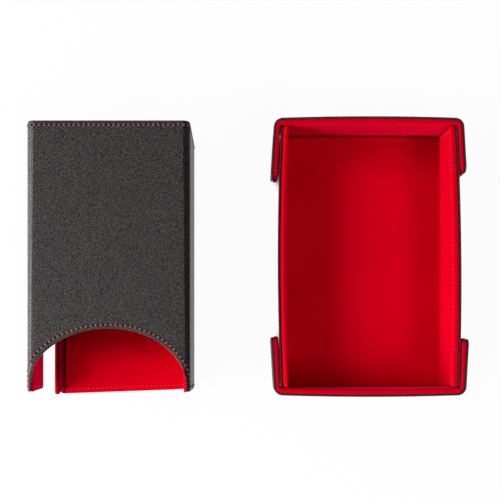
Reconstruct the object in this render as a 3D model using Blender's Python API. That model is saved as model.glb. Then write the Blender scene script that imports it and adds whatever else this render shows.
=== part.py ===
"""A folding dice tower and its tray, of leatherette over stiff board, lined in velvet.

Metres, +Z up. The origin is the middle of the tray's underside, on the table. The tray stands
open side up. The tower lies on its back beside it, with its mouth towards +Y and its exit arch
towards -Y. Run it with blender --background --python part.py, or from the text editor.
"""

import math
from collections import namedtuple

import bmesh
import bpy
from mathutils import Matrix, Vector

# Layers of every field, counted inwards from its outer face
SKIN_THICKNESS = 0.0013
SEAM_GAP = 0.0003
LINING_FACE = 0.0008
EDGE_RIM = 0.0020
MITRE_GAP = 0.0003

# Tray
TRAY_INNER_WIDTH = 0.1180
TRAY_INNER_LENGTH = 0.1954
TRAY_HEIGHT = 0.0345
TRAY_THICKNESS = 0.0056
TRAY_FOLD_RADIUS = 0.0064
SIDE_WALL_LEANS = {-1: 0.0010, 1: 0.0019}
SIDE_WALL_BOWS = {-1: 0.0024, 1: 0.0022}
RIGHT_WALL_NEAR_FLARE = 0.0009
END_WALL_BOW = 0.0011
SIDE_WALL_END_GAP = 0.0004
SIDE_WALL_CORNER = 0.0020

# Corner tabs
TAB_REACHES = {
    "near_left_tab": 0.0440,
    "near_right_tab": 0.0425,
    "far_left_tab": 0.0421,
    "far_right_tab": 0.0405,
}
TAB_STANDOFFS = {
    "near_left_tab": 0.0014,
    "near_right_tab": 0.0030,
    "far_left_tab": 0.0014,
    "far_right_tab": 0.0014,
}
TAB_THICKNESS = 0.0046
TAB_UNDERCUT = 0.0030
TAB_CORNER = 0.0050
TAB_FLARE_DEG = 3.2
TAB_MAGNET_REACH = 0.0290
TAB_MAGNET_RADIUS = 0.0040

# Tower
TOWER_WIDTH = 0.1150
TOWER_DEPTH = 0.0650
TOWER_LENGTH = 0.1910
TOWER_THICKNESS = 0.0046
TOWER_FOLD_RADIUS = 0.0050
TOWER_TO_TRAY = 0.0603
TOWER_OFFSET_Y = -0.0037
RIGHT_PANEL_LEAN_DEG = 1.2
BACK_SKEW = 0.0038
ARCH_RISE = 0.0443
ARCH_OVERRUNS = {-1: 0.0004, 1: -0.0016}
ARCH_POWER = 2.05
LEFT_PANEL_REVEAL = 0.0040
LEFT_PANEL_CORNER = 0.0030
LEFT_PANEL_FLARE_DEG = 8.4

# Closing flap
FLAP_RISE = 0.0205
FLAP_THICKNESS = 0.0036
FLAP_CLEARANCE = 0.0039
FLAP_CORNER = 0.0025
FLAP_MAGNET_HEIGHT = 0.0125
FLAP_MAGNET_RADIUS = 0.0050
FLAP_MAGNET_SPREAD = 0.1100

# Baffles inside the tower
BAFFLE_LENGTH = 0.0420
BAFFLE_THICKNESS = 0.0034
BAFFLE_SLEEVE = 0.0007
BAFFLE_EDGE_RADIUS = 0.0010
BAFFLE_CLEARANCE = 0.0015
BAFFLE_SLOPE_DEG = 45.0
UPPER_BAFFLE_DROP = 0.0380
LOWER_BAFFLE_DROP = 0.0940
STRIP_WIDTH = 0.0120
STRIP_THICKNESS = 0.0008

# Facets
CURL_STEPS = 3
CORNER_STEPS = 4
BOW_STEPS = 20
ARCH_STEPS = 30
MAGNET_SIDES = 24
SLEEVE_CORNER_STEPS = 2

# Surface colours, roughness and metallic value
FINISHES = {
    "leatherette": ((0.045, 0.042, 0.043), 0.62, 0.0),
    "velvet": ((0.52, 0.0, 0.018), 0.95, 0.0),
    "board": ((0.42, 0.34, 0.25), 0.9, 0.0),
    "magnet": ((0.55, 0.55, 0.56), 0.35, 1.0),
}

X = Vector((1, 0, 0))
Y = Vector((0, 1, 0))
Z = Vector((0, 0, 1))

# A line across a field: turn is 0 on the flat, and the share of the fold's curl past its end
Station = namedtuple("Station", "at turn side radius")


def clear_scene():
    for item in list(bpy.data.objects):
        bpy.data.objects.remove(item, do_unlink=True)


def material(name):
    made = bpy.data.materials.get(name)
    if made:
        return made
    made = bpy.data.materials.new(name)
    made.use_nodes = True
    shader = made.node_tree.nodes["Principled BSDF"]
    colour, roughness, metallic = FINISHES[name]
    shader.inputs["Base Color"].default_value = (*colour, 1.0)
    shader.inputs["Roughness"].default_value = roughness
    shader.inputs["Metallic"].default_value = metallic
    return made


def axes_at(place, right, up, out):
    """A frame at a place, from the directions of its three axes."""
    turned = Matrix((right, up, out)).transposed()
    return Matrix.Translation(place) @ turned.to_4x4()


def joint_empty(name, frame, parent=None):
    """An empty on a joint's axis, which carries the pieces of one moving body."""
    empty = bpy.data.objects.new(name, None)
    bpy.context.scene.collection.objects.link(empty)
    empty.parent = parent
    bpy.context.view_layer.update()
    empty.matrix_basis = parent.matrix_world.inverted() @ frame if parent else frame
    bpy.context.view_layer.update()
    return empty


def add_object(name, mesh, finish, parent, place=Matrix.Identity(4)):
    made = bpy.data.objects.new(name, mesh)
    bpy.context.scene.collection.objects.link(made)
    made.data.materials.clear()
    made.data.materials.append(material(finish))
    made.parent = parent
    made.matrix_basis = place
    return made


def mesh_from(builder, name):
    mesh = bpy.data.meshes.new(name)
    bmesh.ops.recalc_face_normals(builder, faces=builder.faces)
    builder.to_mesh(mesh)
    builder.free()
    return mesh


class Span:
    """One direction of a field, from its low outer corner to its high one."""

    def __init__(self, low, high, low_fold=0, high_fold=0, marks=(), low_rim=None):
        self.low_fold = low_fold
        self.high_fold = high_fold
        self.flat_low = low + low_fold
        self.flat_high = high - high_fold
        self.marks = marks
        self.low_rim = low_rim
        if low_rim is None:
            self.low_rim = 0 if low_fold else EDGE_RIM
        self.high_rim = 0 if high_fold else EDGE_RIM

    def pocket(self, margin=0):
        """The stretch that the board's pocket takes, or the board with a margin."""
        return self.flat_low + self.low_rim + margin, self.flat_high - self.high_rim - margin

    def flat_stations(self, low, high, extra=()):
        inside = {at for at in (*self.marks, *extra) if low + SEAM_GAP < at < high - SEAM_GAP}
        return [Station(at, 0, 0, 0) for at in sorted({low, high} | inside)]

    def stations(self, pocketed):
        """All lines of a skin, or of a lining, which adds the edges of its pocket."""
        extra = self.pocket() if pocketed else ()
        line = self.flat_stations(self.flat_low, self.flat_high, extra)
        for step in range(1, CURL_STEPS + 1):
            turn = step / CURL_STEPS
            if self.low_fold:
                line.insert(0, Station(self.flat_low, turn, -1, self.low_fold))
            if self.high_fold:
                line.append(Station(self.flat_high, turn, 1, self.high_fold))
        return line

    def board_stations(self):
        return self.flat_stations(*self.pocket(SEAM_GAP))


def station_point(station, depth):
    """Where a line lies at a depth below the outer face: its place across, and how deep."""
    if not station.turn:
        return station.at, depth
    radius = station.radius - depth
    turn = station.turn * (math.radians(45) - math.asin(MITRE_GAP / 2 / radius))
    return station.at + station.side * radius * math.sin(turn), station.radius - radius * math.cos(turn)


def corner_marks(end, inward, radius):
    """Lines near a free end, where a rounded corner needs them."""
    angles = [math.radians(90) * step / CORNER_STEPS for step in range(1, CORNER_STEPS + 1)]
    return [end + inward * radius * (1 - math.cos(angle)) for angle in angles]


def even_marks(low, high, count):
    return [low + (high - low) * step / count for step in range(1, count)]


class Field:
    """One stiff field of the wrap: a skin, a board and a velvet lining on one outline.

    Local x runs across its columns, local y along its rows, and local z out of the skin.
    """

    def __init__(
        self, name, columns, rows, thickness, corner=0, low_edge=None, shift=None, skew=None, keep=None
    ):
        self.name = name
        self.columns = columns
        self.rows = rows
        self.thickness = thickness
        self.corner = corner
        self.low_edge = low_edge
        self.shift = shift or (lambda x, y: 0)
        self.skew = skew or (lambda x: 0)
        self.keep = keep or (lambda x, y, column_curled, row_curled: True)

    def drop(self, x):
        """How far a rounded corner takes the outline in at x."""
        ends = []
        if not self.columns.low_fold:
            ends.append(x - self.columns.flat_low)
        if not self.columns.high_fold:
            ends.append(self.columns.flat_high - x)
        near = min([end for end in ends if end < self.corner], default=self.corner)
        return self.corner - math.sqrt(max(0, self.corner**2 - (self.corner - near) ** 2))

    def row_place(self, row, x, depth):
        """A row's place and depth at x, with the outline's own lower and upper edge."""
        if row.turn:
            return station_point(row, depth)
        bottom, top = self.rows.flat_low, self.rows.flat_high
        low = bottom if self.rows.low_fold else bottom + self.drop(x)
        high = top if self.rows.high_fold else top - self.drop(x)
        if self.low_edge:
            low = self.low_edge(x)
        return low + (row.at - bottom) / (top - bottom) * (high - low), depth

    def point(self, column, row, depth):
        x, column_depth = station_point(column, depth)
        y, row_depth = self.row_place(row, x, depth)
        return Vector((x, y + self.skew(x), self.shift(x, y) - max(column_depth, row_depth)))

    def depths(self):
        """The board's outer and inner face, as depths."""
        return SKIN_THICKNESS + SEAM_GAP, self.thickness - LINING_FACE - SEAM_GAP

    def slab(self, name, columns, rows, near, far, pocket_near=None):
        """One closed layer. In the pocket's cells its outer face lies at pocket_near."""
        column_pocket, row_pocket = self.columns.pocket(), self.rows.pocket()
        cells = {}
        for i, (west, east) in enumerate(zip(columns, columns[1:])):
            for j, (south, north) in enumerate(zip(rows, rows[1:])):
                x, y = (west.at + east.at) / 2, (south.at + north.at) / 2
                column_curled = bool(west.turn or east.turn)
                row_curled = bool(south.turn or north.turn)
                if not self.keep(x, y, column_curled, row_curled):
                    continue
                flat = not column_curled and not row_curled
                in_pocket = column_pocket[0] < x < column_pocket[1] and row_pocket[0] < y < row_pocket[1]
                cells[i, j] = pocket_near if pocket_near and flat and in_pocket else near
        builder = bmesh.new()
        made = {}

        def corner(i, j, depth):
            key = i, j, depth
            if key not in made:
                made[key] = builder.verts.new(self.point(columns[i], rows[j], depth))
            return made[key]

        for (i, j), top in cells.items():
            ring = [(i, j), (i + 1, j), (i + 1, j + 1), (i, j + 1)]
            beside = [(i, j - 1), (i + 1, j), (i, j + 1), (i - 1, j)]
            builder.faces.new([corner(*at, top) for at in ring])
            builder.faces.new([corner(*at, far) for at in reversed(ring)])
            for start, end, neighbour in zip(ring, ring[1:] + ring[:1], beside):
                foot = cells.get(neighbour, far)
                levels = [top, pocket_near, foot] if pocket_near and top < pocket_near < foot else [top, foot]
                for above, below in zip(levels, levels[1:]):
                    if below > above:
                        wall = [(*start, above), (*start, below), (*end, below), (*end, above)]
                        builder.faces.new([corner(*at) for at in wall])
        return mesh_from(builder, name)

    def build(self, empty, place):
        """The skin, the lining and the board, carried by the body's empty."""
        board_near, board_far = self.depths()
        skin = self.slab(
            self.name + "_skin",
            self.columns.stations(False),
            self.rows.stations(False),
            0,
            SKIN_THICKNESS,
        )
        lining = self.slab(
            self.name + "_lining",
            self.columns.stations(True),
            self.rows.stations(True),
            board_near,
            self.thickness,
            self.thickness - LINING_FACE,
        )
        board = self.slab(
            self.name + "_board",
            self.columns.board_stations(),
            self.rows.board_stations(),
            board_near,
            board_far,
        )
        add_object(skin.name, skin, "leatherette", empty, place)
        add_object(lining.name, lining, "velvet", empty, place)
        return add_object(board.name, board, "board", empty, place)

    def add_magnet(self, name, board, x, y, radius, empty, place):
        """A disc magnet flush in a hole through the board."""
        near, far = self.depths()
        middle = self.shift(x, y) - (near + far) / 2
        slope_x = self.shift(x + radius, y) - self.shift(x - radius, y)
        slope_y = self.shift(x, y + radius) - self.shift(x, y - radius)
        out = Vector((-slope_x, -slope_y, 2 * radius))
        tilt = out.to_track_quat("Z", "Y").to_matrix().to_4x4()
        seat = place @ Matrix.Translation((x, y, middle)) @ tilt
        disc = disc_mesh(name, radius, far - near)
        add_object(name, disc, "magnet", empty, seat)
        cutter_mesh = disc_mesh(name + "_hole", radius + SEAM_GAP, self.thickness)
        cutter = add_object(name + "_hole", cutter_mesh, "board", empty, seat)
        cutter.hide_render = True
        cutter.display_type = "WIRE"
        cut = board.modifiers.new(name + "_hole", "BOOLEAN")
        cut.operation = "DIFFERENCE"
        cut.object = cutter


def disc_mesh(name, radius, height):
    builder = bmesh.new()
    bmesh.ops.create_cone(
        builder,
        cap_ends=True,
        segments=MAGNET_SIDES,
        radius1=radius,
        radius2=radius,
        depth=height,
    )
    mesh = mesh_from(builder, name)
    mesh.shade_smooth()
    mesh.set_sharp_from_angle(angle=math.radians(40))
    return mesh


def fold_axis(radius):
    """How far a fold's axis, on the curled skin's middle, lies in from the sharp corner."""
    return radius * (1 - math.cos(math.radians(45)))


# Sizes that follow from the tray's own
SIDE_WALL_OUT = TRAY_INNER_WIDTH / 2 + TRAY_THICKNESS
END_WALL_OUT = TRAY_INNER_LENGTH / 2 + TRAY_THICKNESS
MAGNET_Y = END_WALL_OUT - TAB_MAGNET_REACH
END_NAMES = {-1: "near", 1: "far"}
SIDE_NAMES = {-1: "left", 1: "right"}


def tab_name(end, side):
    return f"{END_NAMES[end]}_{SIDE_NAMES[side]}_tab"


def tab_out(end, side):
    """How far out a tab's outer face lies, which is also where its end wall ends."""
    return SIDE_WALL_OUT + TAB_STANDOFFS[tab_name(end, side)] + TAB_THICKNESS


def build_tray_floor(root):
    columns = Span(-SIDE_WALL_OUT, SIDE_WALL_OUT, TRAY_FOLD_RADIUS, TRAY_FOLD_RADIUS)
    rows = Span(-END_WALL_OUT, END_WALL_OUT, TRAY_FOLD_RADIUS, TRAY_FOLD_RADIUS)
    floor = Field("tray_floor", columns, rows, TRAY_THICKNESS)
    floor.build(root, axes_at(Vector(), X, -Y, -Z))


def rim_shift(lean, bow, half_length, flare=0):
    """How a wall's rim stands out: by the lean, by the bow at mid-length, and by the flare,
    which adds at the high end as much as it takes at the low one."""

    def shift(x, y):
        crown = max(0, 1 - (x / half_length) ** 2)
        return (lean + bow * crown + flare * x / half_length) * y / TRAY_HEIGHT

    return shift


def build_side_wall(side, name, root):
    """A long wall that leans in about the crease of the lining at its foot."""
    half = TRAY_INNER_LENGTH / 2 - SIDE_WALL_END_GAP
    marks = even_marks(-half, half, BOW_STEPS)
    marks += corner_marks(-half, 1, SIDE_WALL_CORNER) + corner_marks(half, -1, SIDE_WALL_CORNER)
    bow, flare = SIDE_WALL_BOWS[side], -RIGHT_WALL_NEAR_FLARE if side > 0 else 0
    wall = Field(
        name,
        Span(-half, half, marks=marks),
        Span(0, TRAY_HEIGHT, low_fold=TRAY_FOLD_RADIUS),
        TRAY_THICKNESS,
        corner=SIDE_WALL_CORNER,
        shift=rim_shift(SIDE_WALL_LEANS[side], bow, TRAY_INNER_LENGTH / 2, flare),
    )
    frame = axes_at(X * side * SIDE_WALL_OUT, Y * side, Z, X * side)
    crease = Matrix.Translation((0, TRAY_THICKNESS, -TRAY_THICKNESS))
    empty = joint_empty(name, frame @ crease, root)
    board = wall.build(empty, crease.inverted())
    for end, label in END_NAMES.items():
        magnet = f"{name}_{label}_magnet"
        x = side * end * MAGNET_Y
        y = TRAY_HEIGHT / 2
        wall.add_magnet(magnet, board, x, y, TAB_MAGNET_RADIUS, empty, crease.inverted())


def build_end_wall(side, name, root):
    """A short wall that folds out about the floor's edge, with a tab at each end."""
    marks = even_marks(-SIDE_WALL_OUT, SIDE_WALL_OUT, BOW_STEPS) + [-SIDE_WALL_OUT, SIDE_WALL_OUT]
    wall = Field(
        name,
        Span(-tab_out(side, side), tab_out(side, -side), TRAY_FOLD_RADIUS, TRAY_FOLD_RADIUS, marks),
        Span(0, TRAY_HEIGHT, low_fold=TRAY_FOLD_RADIUS, low_rim=EDGE_RIM),
        TRAY_THICKNESS,
        shift=rim_shift(0, END_WALL_BOW, SIDE_WALL_OUT),
        keep=lambda x, y, column_curled, row_curled: not row_curled or abs(x) < SIDE_WALL_OUT,
    )
    frame = axes_at(Y * side * END_WALL_OUT, X * -side, Z, Y * side)
    inset = fold_axis(TRAY_FOLD_RADIUS)
    hinge = Matrix.Translation((0, inset, -inset))
    empty = joint_empty(name, frame @ hinge, root)
    wall.build(empty, hinge.inverted())
    return empty


def build_tab(end, side, wall_empty):
    """A corner tab: it wraps the end wall's corner and lies along the side wall."""
    name = tab_name(end, side)
    fold_low = end * side < 0
    reach = TAB_REACHES[name]
    low = 0 if fold_low else -reach
    radius = TRAY_FOLD_RADIUS
    free_end, inward = (low + reach, -1) if fold_low else (low, 1)
    marks = corner_marks(free_end, inward, TAB_CORNER)
    tab = Field(
        name,
        Span(low, low + reach, radius if fold_low else 0, 0 if fold_low else radius, marks),
        Span(TAB_UNDERCUT, TRAY_HEIGHT, marks=[radius], low_rim=radius + EDGE_RIM - TAB_UNDERCUT),
        TAB_THICKNESS,
        corner=TAB_CORNER,
        keep=lambda x, y, column_curled, row_curled: not column_curled or y > radius,
    )
    place = Vector((side * tab_out(end, side), end * END_WALL_OUT, 0))
    frame = axes_at(place, Y * side, Z, X * side)
    inset = fold_axis(radius)
    hinge = Matrix.Translation((inset if fold_low else -inset, 0, -inset))
    flare = math.radians(TAB_FLARE_DEG if fold_low else -TAB_FLARE_DEG)
    empty = joint_empty(name, frame @ hinge @ Matrix.Rotation(-flare, 4, "Y"), wall_empty)
    board = tab.build(empty, hinge.inverted())
    x = -inward * TAB_MAGNET_REACH
    y = TRAY_HEIGHT / 2
    tab.add_magnet(name + "_magnet", board, x, y, TAB_MAGNET_RADIUS, empty, hinge.inverted())


def build_tray():
    root = joint_empty("tray_base", Matrix.Identity(4))
    build_tray_floor(root)
    for side, side_name in SIDE_NAMES.items():
        build_side_wall(side, f"tray_{side_name}_wall", root)
    for end, end_name in END_NAMES.items():
        wall = build_end_wall(end, f"tray_{end_name}_wall", root)
        for side in SIDE_NAMES:
            build_tab(end, side, wall)
    return root


# Sizes that follow from the tower's own, in a frame below its front's left corner on the table
TOWER_LEFT = -tab_out(-1, -1) - TOWER_TO_TRAY - TOWER_WIDTH
TOWER_FOOT = TOWER_OFFSET_Y - TOWER_LENGTH / 2
TOWER_AT = Vector((TOWER_LEFT, TOWER_FOOT, 0))
RIGHT_LEAN = math.radians(RIGHT_PANEL_LEAN_DEG)
FOLD_SPACING = TOWER_DEPTH - 2 * fold_axis(TOWER_FOLD_RADIUS)
FRONT_FACE = TOWER_DEPTH - FOLD_SPACING * (1 - math.cos(RIGHT_LEAN))
BACK_LEFT = TOWER_THICKNESS + FLAP_CLEARANCE
BACK_RIGHT = TOWER_WIDTH - FOLD_SPACING * math.sin(RIGHT_LEAN)


def tower_point(x, z):
    return TOWER_AT + Vector((x, 0, z))


def arch_reach(side):
    return TOWER_WIDTH / 2 + ARCH_OVERRUNS[-1 if side < 0 else 1]


def arch_edge(x):
    """The exit arch: nearly half an ellipse, whose left foot runs out past the fold."""
    across = x - TOWER_WIDTH / 2
    share = min(1, abs(across) / arch_reach(across))
    return ARCH_RISE * (1 - share**ARCH_POWER) ** (1 / ARCH_POWER)


def build_tower_field(field, frame, axis, parent, angle=0):
    """A tower field on an empty at its fold's axis, turned about it by angle."""
    hinge = Matrix.Translation(axis)
    empty = joint_empty(field.name, frame @ hinge @ Matrix.Rotation(angle, 4, "Y"), parent)
    board = field.build(empty, hinge.inverted())
    return empty, hinge.inverted(), board


def add_latch_magnets(field, board, x, empty, place):
    for sign, label in ((-1, "lower"), (1, "upper")):
        y = TOWER_LENGTH / 2 + sign * FLAP_MAGNET_SPREAD / 2
        name = f"{field.name}_{label}_magnet"
        field.add_magnet(name, board, x, y, FLAP_MAGNET_RADIUS, empty, place)


def build_tower(root):
    radius = TOWER_FOLD_RADIUS
    inset = fold_axis(radius)
    rows = Span(0, TOWER_LENGTH)

    back_width = BACK_RIGHT - BACK_LEFT
    back = Field(
        "tower_back",
        Span(0, back_width, radius, radius),
        rows,
        TOWER_THICKNESS,
        skew=lambda x: -BACK_SKEW * x / back_width,
    )
    back_frame = axes_at(tower_point(BACK_RIGHT, 0), -X, Y, -Z)
    back_empty, _, _ = build_tower_field(back, back_frame, (0, 0, 0), root)

    right = Field("tower_right", Span(0, TOWER_DEPTH, radius, radius), rows, TOWER_THICKNESS)
    right_frame = axes_at(tower_point(BACK_RIGHT, TOWER_DEPTH), -Z, Y, X)
    right_axis = (TOWER_DEPTH - inset, 0, -inset)
    right_empty, _, _ = build_tower_field(right, right_frame, right_axis, back_empty, RIGHT_LEAN)

    front = build_front(rows)
    front_frame = axes_at(tower_point(0, FRONT_FACE), X, Y, Z)
    front_axis = (TOWER_WIDTH - inset, 0, -inset)
    front_empty, _, _ = build_tower_field(front, front_frame, front_axis, right_empty)

    left_span = Span(
        LEFT_PANEL_REVEAL,
        TOWER_DEPTH,
        high_fold=radius,
        marks=corner_marks(LEFT_PANEL_REVEAL, 1, LEFT_PANEL_CORNER),
    )
    left = Field("tower_left", left_span, rows, TOWER_THICKNESS, corner=LEFT_PANEL_CORNER)
    left_frame = axes_at(tower_point(0, FRONT_FACE - TOWER_DEPTH), Z, Y, -X)
    left_axis = (TOWER_DEPTH - inset, 0, -inset)
    flare = math.radians(LEFT_PANEL_FLARE_DEG)
    left_made = build_tower_field(left, left_frame, left_axis, front_empty, flare)
    add_latch_magnets(left, left_made[2], FLAP_MAGNET_HEIGHT, left_made[0], left_made[1])

    flap_span = Span(0, FLAP_RISE, low_fold=radius, marks=corner_marks(FLAP_RISE, -1, FLAP_CORNER))
    flap = Field(
        "closing_flap",
        flap_span,
        rows,
        FLAP_THICKNESS,
        corner=FLAP_CORNER,
        skew=lambda x: -BACK_SKEW,
    )
    flap_frame = axes_at(tower_point(BACK_LEFT, 0), Z, Y, -X)
    flap_made = build_tower_field(flap, flap_frame, (inset, 0, -inset), back_empty)
    add_latch_magnets(flap, flap_made[2], FLAP_MAGNET_HEIGHT, flap_made[0], flap_made[1])

    build_upper_baffle(front_empty)
    build_lower_baffle(back_empty)


def build_front(rows):
    """The front field, whose lower edge is the exit arch."""
    cosines = [-math.cos(math.pi * step / ARCH_STEPS) for step in range(1, ARCH_STEPS)]
    marks = [TOWER_WIDTH / 2 + arch_reach(cosine) * cosine for cosine in cosines]
    columns = Span(0, TOWER_WIDTH, TOWER_FOLD_RADIUS, TOWER_FOLD_RADIUS, marks)
    return Field("tower_front", columns, rows, TOWER_THICKNESS, low_edge=arch_edge)


def rounded_rectangle(low, high, radius):
    """Points round a rectangle in (y, z), with rounded corners."""
    centres = (
        (high[0] - radius, high[1] - radius, 0),
        (low[0] + radius, high[1] - radius, 90),
        (low[0] + radius, low[1] + radius, 180),
        (high[0] - radius, low[1] + radius, 270),
    )
    points = []
    for y, z, start in centres:
        for step in range(SLEEVE_CORNER_STEPS + 1):
            angle = math.radians(start + 90 * step / SLEEVE_CORNER_STEPS)
            points.append((y + radius * math.cos(angle), z + radius * math.sin(angle)))
    return points


def prism_mesh(name, width, outer, hole=None):
    """A profile in (y, z) drawn out along x, with an optional hole of as many points."""
    builder = bmesh.new()
    half = width / 2
    rings = []
    for x in (-half, half):
        for points in (outer, hole or []):
            rings.append([builder.verts.new((x, y, z)) for y, z in points])
    count = len(outer)
    low_outer, low_hole, high_outer, high_hole = rings
    for index in range(count):
        after = (index + 1) % count
        builder.faces.new([low_outer[index], low_outer[after], high_outer[after], high_outer[index]])
        if hole:
            builder.faces.new([low_hole[after], low_hole[index], high_hole[index], high_hole[after]])
            builder.faces.new([low_outer[after], low_outer[index], low_hole[index], low_hole[after]])
            builder.faces.new([high_outer[index], high_outer[after], high_hole[after], high_hole[index]])
    if not hole:
        builder.faces.new(low_outer[::-1])
        builder.faces.new(high_outer)
    return mesh_from(builder, name)


def box_profile(low, high):
    return [(low[0], low[1]), (high[0], low[1]), (high[0], high[1]), (low[0], high[1])]


def build_baffle(name, width, pivot, right, down, carrier, strip_frame):
    """A baffle in its velvet sleeve, on its fold's axis, and the strip glued to its panel."""
    facing = right.cross(down)
    empty = joint_empty(name, axes_at(pivot, right, down, facing), carrier)
    outer = rounded_rectangle((0, 0), (BAFFLE_LENGTH, BAFFLE_THICKNESS), BAFFLE_EDGE_RADIUS)
    low = (BAFFLE_SLEEVE, BAFFLE_SLEEVE)
    high = (BAFFLE_LENGTH - BAFFLE_SLEEVE, BAFFLE_THICKNESS - BAFFLE_SLEEVE)
    hole = rounded_rectangle(low, high, BAFFLE_EDGE_RADIUS - BAFFLE_SLEEVE)
    sleeve = prism_mesh(name + "_sleeve", width, outer, hole)
    add_object(sleeve.name, sleeve, "velvet", empty)
    margin = BAFFLE_SLEEVE + SEAM_GAP
    board_low = (margin, margin)
    board_high = (BAFFLE_LENGTH - margin, BAFFLE_THICKNESS - margin)
    board_width = width - 2 * EDGE_RIM
    board = prism_mesh(name + "_board", board_width, box_profile(board_low, board_high))
    add_object(board.name, board, "board", empty)
    start = STRIP_THICKNESS + 2 * SEAM_GAP
    strip_low = (-start - STRIP_WIDTH, SEAM_GAP)
    strip_high = (-start, SEAM_GAP + STRIP_THICKNESS)
    strip = prism_mesh(name + "_strip", width, box_profile(strip_low, strip_high))
    add_object(strip.name, strip, "velvet", carrier, carrier.matrix_world.inverted() @ strip_frame)


def build_upper_baffle(front_empty):
    """The baffle that hangs from the front field and sheds the dice towards the back."""
    slope = math.radians(BAFFLE_SLOPE_DEG)
    width = TOWER_WIDTH - 2 * TOWER_THICKNESS - 2 * BAFFLE_CLEARANCE
    lining = tower_point(TOWER_WIDTH / 2, FRONT_FACE - TOWER_THICKNESS)
    seat = lining + Y * (TOWER_LENGTH - UPPER_BAFFLE_DROP)
    down = -Y * math.cos(slope) - Z * math.sin(slope)
    pivot = seat - Z * SEAM_GAP
    build_baffle("upper_baffle", width, pivot, X, down, front_empty, axes_at(seat, X, -Y, -Z))


def build_lower_baffle(back_empty):
    """The baffle that stands on the back field and sheds the dice towards the exit arch."""
    slope = math.radians(BAFFLE_SLOPE_DEG)
    low = BACK_LEFT + FLAP_THICKNESS + BAFFLE_CLEARANCE
    high = BACK_RIGHT - TOWER_THICKNESS - BAFFLE_CLEARANCE
    lining = tower_point((low + high) / 2, TOWER_THICKNESS)
    seat = lining + Y * (TOWER_LENGTH - LOWER_BAFFLE_DROP)
    down = -Y * math.cos(slope) + Z * math.sin(slope)
    pivot = seat + Z * SEAM_GAP
    build_baffle("lower_baffle", high - low, pivot, -X, down, back_empty, axes_at(seat, -X, -Y, Z))


def main():
    clear_scene()
    root = build_tray()
    build_tower(root)


main()
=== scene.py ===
"""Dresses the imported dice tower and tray: leatherette, velvet, folds, stitches, stage and camera."""

import math
from collections import namedtuple

import bmesh
import bpy
from mathutils import Matrix, Vector


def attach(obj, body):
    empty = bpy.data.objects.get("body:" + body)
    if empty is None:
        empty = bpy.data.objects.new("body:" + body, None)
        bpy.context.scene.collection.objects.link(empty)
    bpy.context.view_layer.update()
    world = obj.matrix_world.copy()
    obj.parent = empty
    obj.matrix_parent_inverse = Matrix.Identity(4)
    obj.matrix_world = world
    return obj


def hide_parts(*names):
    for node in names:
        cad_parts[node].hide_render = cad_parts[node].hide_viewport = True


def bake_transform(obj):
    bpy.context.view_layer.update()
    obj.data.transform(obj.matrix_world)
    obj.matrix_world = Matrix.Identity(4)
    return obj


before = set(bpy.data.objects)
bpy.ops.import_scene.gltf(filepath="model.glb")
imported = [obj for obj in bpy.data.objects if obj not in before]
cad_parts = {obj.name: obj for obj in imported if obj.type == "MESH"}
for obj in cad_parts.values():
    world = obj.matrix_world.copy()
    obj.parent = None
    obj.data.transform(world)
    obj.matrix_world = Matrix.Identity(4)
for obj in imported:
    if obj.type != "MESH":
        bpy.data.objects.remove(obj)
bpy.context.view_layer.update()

X = Vector((1, 0, 0))
Y = Vector((0, 1, 0))
Z = Vector((0, 0, 1))
TINY = 1e-5

# Sizes of the part's source, in metres
SKIN = 0.0013
TRAY_HALF_WIDTH = 0.0590
TRAY_HALF_LENGTH = 0.0977
TRAY_HEIGHT = 0.0345
TRAY_THICKNESS = 0.0056
TRAY_RADIUS = 0.0064
SIDE_LEANS = {-1: 0.0010, 1: 0.0019}
SIDE_BOWS = {-1: 0.0024, 1: 0.0022}
NEAR_FLARES = {-1: 0.0, 1: 0.0009}
END_BOW = 0.0011
SIDE_END_GAP = 0.0004
SIDE_CORNER = 0.0020
TAB_REACHES = {
    "near_left_tab": 0.0440,
    "near_right_tab": 0.0425,
    "far_left_tab": 0.0421,
    "far_right_tab": 0.0405,
}
TAB_THICKNESS = 0.0046
TAB_STANDOFFS = {
    "near_left_tab": 0.0014,
    "near_right_tab": 0.0030,
    "far_left_tab": 0.0014,
    "far_right_tab": 0.0014,
}
TAB_UNDERCUT = 0.0030
TAB_CORNER = 0.0050
TAB_FLARE_DEG = 3.2
TOWER_WIDTH = 0.1150
TOWER_DEPTH = 0.0650
TOWER_LENGTH = 0.1910
TOWER_THICKNESS = 0.0046
TOWER_RADIUS = 0.0050
TOWER_TO_TRAY = 0.0603
TOWER_OFFSET_Y = -0.0037
RIGHT_LEAN_DEG = 1.2
BACK_SKEW = 0.0038
ARCH_RISE = 0.0443
ARCH_LEFT = TOWER_WIDTH / 2 + 0.0004
ARCH_RIGHT = TOWER_WIDTH / 2 - 0.0016
ARCH_POWER = 2.05
LEFT_REVEAL = 0.0040
LEFT_CORNER = 0.0030
LEFT_FLARE_DEG = 8.4
FLAP_RISE = 0.0205
FLAP_THICKNESS = 0.0036
FLAP_CLEARANCE = 0.0039
FLAP_CORNER = 0.0025
BAFFLE_LENGTH = 0.0420
BAFFLE_THICKNESS = 0.0034
BAFFLE_CLEARANCE = 0.0015
BAFFLE_SLOPE = math.radians(45)
UPPER_BAFFLE_DROP = 0.0380
LOWER_BAFFLE_DROP = 0.0940
STRIP_WIDTH = 0.0120
STRIP_THICKNESS = 0.0008
SEAM = 0.0003

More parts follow.
